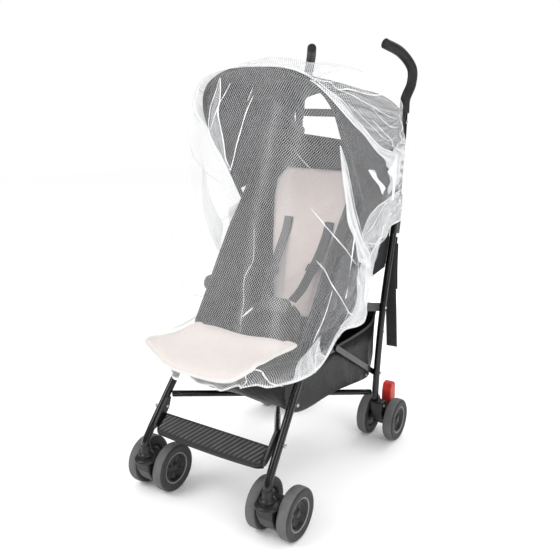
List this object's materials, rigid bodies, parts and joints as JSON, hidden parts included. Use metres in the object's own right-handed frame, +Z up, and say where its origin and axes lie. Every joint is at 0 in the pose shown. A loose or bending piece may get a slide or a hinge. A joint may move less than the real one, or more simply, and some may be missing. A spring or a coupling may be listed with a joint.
{
  "type": "mosquito net on an umbrella stroller",
  "caption": "Sheer mosquito net stretched over the hood and seat of a plain umbrella stroller, gathered at the push tubes, with a ruffled hem below the leg rest.",
  "frame": {"origin": "bottom centre of the bounding box, on the floor between the wheels", "axes": "+Z up; the child faces -Y; +X is the side of the child's left hand"},
  "size_m": [0.473, 0.7832, 1.1237],
  "materials": {
    "net": "sheer white knitted net, denser where it folds",
    "black_cloth": "plain black woven cloth",
    "liner": "pale pinkish cotton",
    "webbing": "black webbing",
    "tyre": "matt dark grey foam",
    "black_plastic": "satin black",
    "grip_foam": "soft black grip",
    "pedal": "red",
    "frame_paint": "semi-gloss black"
  },
  "bodies": {
    "root": {"front_left_tyre_a": "tyre", "front_left_hub_a": "black_plastic", "front_left_tyre_b": "tyre", "front_left_hub_b": "black_plastic", "front_right_tyre_a": "tyre", "front_right_hub_a": "black_plastic", "front_right_tyre_b": "tyre", "front_right_hub_b": "black_plastic", "rear_left_tyre_a": "tyre", "rear_left_hub_a": "black_plastic", "rear_left_tyre_b": "tyre", "rear_left_hub_b": "black_plastic", "rear_right_tyre_a": "tyre", "rear_right_hub_a": "black_plastic", "rear_right_tyre_b": "tyre", "rear_right_hub_b": "black_plastic", "front_tube_left": "frame_paint", "push_tube_left": "frame_paint", "grip_left": "grip_foam", "front_tube_right": "frame_paint", "push_tube_right": "frame_paint", "grip_right": "grip_foam", "front_fork_left": "black_plastic", "rear_housing_left": "black_plastic", "brake_pedal_left": "pedal", "joint_plate_left": "black_plastic", "pivot_cap_left": "black_plastic", "front_fork_right": "black_plastic", "rear_housing_right": "black_plastic", "brake_pedal_right": "pedal", "joint_plate_right": "black_plastic", "pivot_cap_right": "black_plastic", "brace_upper": "frame_paint", "brace_lower": "frame_paint", "seat_rail_left": "frame_paint", "rear_link_left": "frame_paint", "rail_rivet_left": "frame_paint", "seat_rail_right": "frame_paint", "rear_link_right": "frame_paint", "rail_rivet_right": "frame_paint", "footrest": "black_plastic", "seat": "black_cloth", "seat_liner": "liner", "leg_rest": "liner", "shoulder_strap_left": "webbing", "shoulder_strap_right": "webbing", "crotch_strap": "webbing", "buckle": "black_plastic", "basket": "black_cloth", "corner_strap_left": "webbing", "corner_strap_right": "webbing", "carry_strap": "webbing", "side_panel_left": "black_cloth", "side_panel_right": "black_cloth", "hood_strap": "webbing", "hood_bow": "frame_paint", "hood": "black_cloth", "net": "net"}
  },
  "joints": []
}
